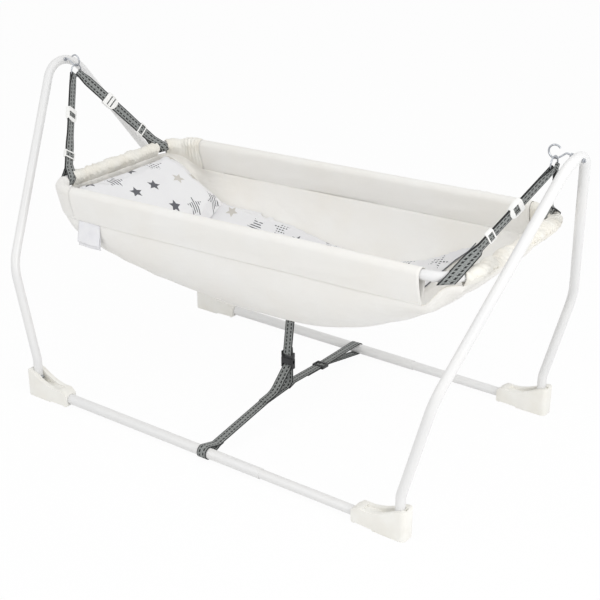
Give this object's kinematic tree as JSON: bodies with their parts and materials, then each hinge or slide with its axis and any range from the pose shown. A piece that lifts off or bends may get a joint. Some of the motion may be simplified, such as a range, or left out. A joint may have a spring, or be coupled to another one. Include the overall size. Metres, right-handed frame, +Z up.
{
  "type": "hanging_baby_cradle",
  "caption": "Hanging baby cradle: a cream hammock on an oval tube rail, hung on webbing straps from bent white tube end frames with plastic feet.",
  "frame": {"origin": "the centre of the footprint on the floor", "axes": "+X along the cradle towards its foot end, +Y to the back, +Z up"},
  "size_m": [1.4422, 0.69, 0.7803],
  "materials": {
    "white_enamel": "semi-gloss enamel",
    "white_plastic": "moulded",
    "black_plastic": "moulded",
    "zinc_plate": "zinc plated",
    "cream_cotton": "plain woven cotton",
    "printed_cotton": "cotton with a small star print",
    "grey_webbing": "woven webbing with dashes",
    "white_satin": "satin"
  },
  "bodies": {
    "stand": {"end_frame_left": "white_enamel", "foot_left_front": "white_plastic", "frame_bolt_left_front": "zinc_plate", "frame_nut_left_front": "zinc_plate", "foot_left_back": "white_plastic", "frame_bolt_left_back": "zinc_plate", "frame_nut_left_back": "zinc_plate", "hook_left": "zinc_plate", "hook_nut_inner_left": "zinc_plate", "hook_nut_outer_left": "zinc_plate", "end_frame_right": "white_enamel", "foot_right_front": "white_plastic", "frame_bolt_right_front": "zinc_plate", "frame_nut_right_front": "zinc_plate", "foot_right_back": "white_plastic", "frame_bolt_right_back": "zinc_plate", "frame_nut_right_back": "zinc_plate", "hook_right": "zinc_plate", "hook_nut_inner_right": "zinc_plate", "hook_nut_outer_right": "zinc_plate", "base_tube_front_outer": "white_enamel", "base_tube_front_inner": "white_enamel", "base_tube_back_outer": "white_enamel", "base_tube_back_inner": "white_enamel", "brake_strap_front": "grey_webbing", "brake_strap_back": "grey_webbing"},
    "cradle": {"metal_ring_left": "zinc_plate", "end_bow_left": "white_enamel", "end_sleeve_left": "cream_cotton", "metal_ring_right": "zinc_plate", "end_bow_right": "white_enamel", "end_sleeve_right": "cream_cotton", "rail_front": "white_enamel", "sleeve_front": "cream_cotton", "rail_back": "white_enamel", "sleeve_back": "cream_cotton", "hammock_cloth": "cream_cotton", "mattress": "printed_cotton", "sewn_tag": "white_satin", "hanging_strap_left_front": "grey_webbing", "hanging_strap_left_back": "grey_webbing", "hanging_strap_right_front": "grey_webbing", "hanging_strap_right_back": "grey_webbing", "brake_strap_upper": "grey_webbing", "brake_buckle_plug": "black_plastic"},
    "pillow": {"pillow": "printed_cotton"},
    "brake_buckle_socket": {"brake_buckle_socket": "black_plastic"},
    "brake_ladder_lock": {"brake_ladder_lock": "black_plastic"},
    "strap_adjuster_left_front": {"strap_adjuster_left_front": "white_plastic"},
    "strap_keeper_left_front": {"strap_keeper_left_front": "white_plastic"},
    "strap_adjuster_left_back": {"strap_adjuster_left_back": "white_plastic"},
    "strap_keeper_left_back": {"strap_keeper_left_back": "white_plastic"},
    "strap_adjuster_right_front": {"strap_adjuster_right_front": "white_plastic"},
    "strap_keeper_right_front": {"strap_keeper_right_front": "white_plastic"},
    "strap_adjuster_right_back": {"strap_adjuster_right_back": "white_plastic"},
    "strap_keeper_right_back": {"strap_keeper_right_back": "white_plastic"}
  },
  "joints": [
    {"name": "cradle_swing", "type": "hinge", "parent": "stand", "child": "cradle", "pos_m": [0, 0, 0.7515], "axis": [1, 0, 0], "range_deg": [-15, 15]},
    {"name": "pillow_lift", "type": "slide", "parent": "cradle", "child": "pillow", "axis": [0, 0, 1], "range_m": [0, 0.25]},
    {"name": "brake_buckle_release", "type": "slide", "parent": "stand", "child": "brake_buckle_socket", "axis": [0, 0, -1], "range_m": [0, 0.035], "deforming": ["brake_strap_front"]},
    {"name": "brake_ladder_lock_slide", "type": "slide", "parent": "stand", "child": "brake_ladder_lock", "axis": [0.0452, -0.9953, 0.0851], "range_m": [-0.012, 0.02]},
    {"name": "adjuster_slide_left_front", "type": "slide", "parent": "cradle", "child": "strap_adjuster_left_front", "axis": [0.4152, -0.5444, -0.7288], "range_m": [-0.012, 0.012]},
    {"name": "keeper_slide_left_front", "type": "slide", "parent": "cradle", "child": "strap_keeper_left_front", "axis": [0.4152, -0.5444, -0.7288], "range_m": [-0.01, 0.01]},
    {"name": "adjuster_slide_left_back", "type": "slide", "parent": "cradle", "child": "strap_adjuster_left_back", "axis": [0.4152, 0.5444, -0.7288], "range_m": [-0.012, 0.012]},
    {"name": "keeper_slide_left_back", "type": "slide", "parent": "cradle", "child": "strap_keeper_left_back", "axis": [0.4152, 0.5444, -0.7288], "range_m": [-0.01, 0.01]},
    {"name": "adjuster_slide_right_front", "type": "slide", "parent": "cradle", "child": "strap_adjuster_right_front", "axis": [-0.3203, -0.7181, -0.6179], "range_m": [-0.012, 0.012]},
    {"name": "keeper_slide_right_front", "type": "slide", "parent": "cradle", "child": "strap_keeper_right_front", "axis": [-0.3203, -0.7181, -0.6179], "range_m": [-0.01, 0.01]},
    {"name": "adjuster_slide_right_back", "type": "slide", "parent": "cradle", "child": "strap_adjuster_right_back", "axis": [-0.3203, 0.7181, -0.6179], "range_m": [-0.012, 0.012]},
    {"name": "keeper_slide_right_back", "type": "slide", "parent": "cradle", "child": "strap_keeper_right_back", "axis": [-0.3203, 0.7181, -0.6179], "range_m": [-0.01, 0.01]}
  ]
}
